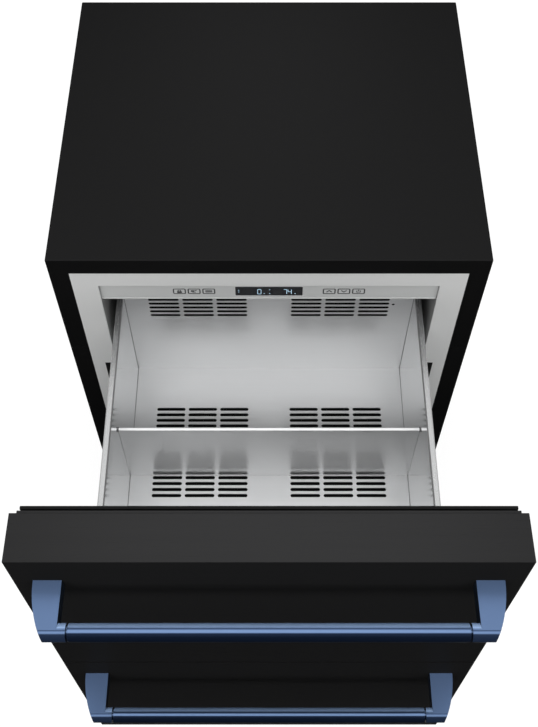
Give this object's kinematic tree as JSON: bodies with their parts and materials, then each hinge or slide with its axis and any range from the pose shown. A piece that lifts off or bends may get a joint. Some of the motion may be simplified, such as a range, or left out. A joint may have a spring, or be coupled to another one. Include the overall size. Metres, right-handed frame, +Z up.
{
  "type": "undercounter drawer refrigerator",
  "caption": "Built-in undercounter refrigerator with two full-width insulated drawers on telescopic slides, bar handles and slotted stainless boxes.",
  "frame": {"origin": "middle of the footprint with both drawers out, on the floor under the levelling feet", "axes": "+Z up, +Y towards the back of the cabinet, +X to the right seen from the front"},
  "size_m": [0.598, 1.0052, 0.876],
  "materials": {
    "black_paint": "satin",
    "galvanised_sheet": "satin",
    "black_plastic": "matte",
    "foam": "matte",
    "grey_liner": "satin",
    "grey_strip": "satin",
    "black_glass": "gloss",
    "circuit_board": "satin",
    "lamp_diffuser": "matte",
    "aluminium_fins": "satin",
    "black_enamel": "gloss",
    "rubber": "matte",
    "white_tube": "satin",
    "copper": "satin",
    "zinc": "satin",
    "brushed_black": "satin",
    "blue_metal": "satin",
    "brushed_stainless": "satin",
    "polished_stainless": "gloss"
  },
  "bodies": {
    "cabinet": {"case_wrapper": "black_paint", "back_panel": "galvanised_sheet", "machine_cover": "galvanised_sheet", "base_pan": "galvanised_sheet", "toe_grille": "black_plastic", "step_panel": "galvanised_sheet", "insulation": "foam", "inner_liner": "grey_liner", "control_strip": "grey_strip", "display_window": "black_glass", "touch_keys": "grey_strip", "control_board": "circuit_board", "light_bars": "lamp_diffuser", "upper_air_cover": "grey_liner", "lower_air_cover": "grey_liner", "evaporator_coil": "aluminium_fins", "cold_fan_frame": "black_plastic", "compressor": "black_enamel", "compressor_mounts": "rubber", "condenser_coil": "black_enamel", "warm_fan_frame": "black_enamel", "evaporation_tray": "black_plastic", "drain_tube": "white_tube", "refrigerant_lines": "copper", "power_inlet": "black_plastic", "case_screws": "zinc", "upper_slide_rails": "zinc", "lower_slide_rails": "zinc"},
    "cold_fan": {"cold_fan": "black_plastic"},
    "warm_fan": {"warm_fan": "aluminium_fins"},
    "front_left_foot": {"front_left_foot": "rubber"},
    "front_right_foot": {"front_right_foot": "rubber"},
    "rear_left_foot": {"rear_left_foot": "rubber"},
    "rear_right_foot": {"rear_right_foot": "rubber"},
    "upper_carriers": {"upper_slide_carriers": "zinc"},
    "upper_drawer": {"upper_slide_runners": "zinc", "upper_front_skin": "brushed_black", "upper_front_core": "foam", "upper_front_plate": "black_plastic", "upper_gasket": "rubber", "upper_handle_bar": "blue_metal", "upper_left_bracket": "blue_metal", "upper_right_bracket": "blue_metal", "upper_handle_screws": "zinc", "upper_drawer_tray": "brushed_stainless", "upper_drawer_sides": "polished_stainless"},
    "upper_divider": {"upper_divider": "brushed_stainless"},
    "lower_carriers": {"lower_slide_carriers": "zinc"},
    "lower_drawer": {"lower_slide_runners": "zinc", "lower_front_skin": "brushed_black", "lower_front_core": "foam", "lower_front_plate": "black_plastic", "lower_gasket": "rubber", "lower_handle_bar": "blue_metal", "lower_left_bracket": "blue_metal", "lower_right_bracket": "blue_metal", "lower_handle_screws": "zinc", "lower_drawer_tray": "brushed_stainless", "lower_drawer_sides": "polished_stainless"},
    "lower_divider": {"lower_divider": "brushed_stainless"}
  },
  "joints": [
    {"name": "upper_drawer_slide", "type": "slide", "parent": "cabinet", "child": "upper_drawer", "axis": [0, -1, 0], "range_m": [-0.343, 0]},
    {"name": "upper_carrier_slide", "type": "slide", "parent": "cabinet", "child": "upper_carriers", "axis": [0, -1, 0], "range_m": [-0.1715, 0]},
    {"name": "upper_divider_lift", "type": "slide", "parent": "upper_drawer", "child": "upper_divider", "axis": [0, 0, 1], "range_m": [0, 0.04]},
    {"name": "lower_drawer_slide", "type": "slide", "parent": "cabinet", "child": "lower_drawer", "axis": [0, -1, 0], "range_m": [-0.343, 0]},
    {"name": "lower_carrier_slide", "type": "slide", "parent": "cabinet", "child": "lower_carriers", "axis": [0, -1, 0], "range_m": [-0.1715, 0]},
    {"name": "lower_divider_lift", "type": "slide", "parent": "lower_drawer", "child": "lower_divider", "axis": [0, 0, 1], "range_m": [0, 0.04]},
    {"name": "cold_fan_spin", "type": "hinge", "parent": "cabinet", "child": "cold_fan", "pos_m": [0, 0.4066, 0.7006], "axis": [0, 1, 0], "continuous": true},
    {"name": "warm_fan_spin", "type": "hinge", "parent": "cabinet", "child": "warm_fan", "pos_m": [0.2, 0.3576, 0.104], "axis": [0, 1, 0], "continuous": true},
    {"name": "front_left_foot_turn", "type": "hinge", "parent": "cabinet", "child": "front_left_foot", "pos_m": [-0.2585, 0.0146, 0], "axis": [0, 0, 1], "continuous": true},
    {"name": "front_right_foot_turn", "type": "hinge", "parent": "cabinet", "child": "front_right_foot", "pos_m": [0.2585, 0.0146, 0], "axis": [0, 0, 1], "continuous": true},
    {"name": "rear_left_foot_turn", "type": "hinge", "parent": "cabinet", "child": "rear_left_foot", "pos_m": [-0.2585, 0.4626, 0], "axis": [0, 0, 1], "continuous": true},
    {"name": "rear_right_foot_turn", "type": "hinge", "parent": "cabinet", "child": "rear_right_foot", "pos_m": [0.2585, 0.4626, 0], "axis": [0, 0, 1], "continuous": true}
  ],
  "couplings": [
    {"joint": "upper_carrier_slide", "follows": "upper_drawer_slide", "ratio": 0.5},
    {"joint": "lower_carrier_slide", "follows": "lower_drawer_slide", "ratio": 0.5}
  ]
}
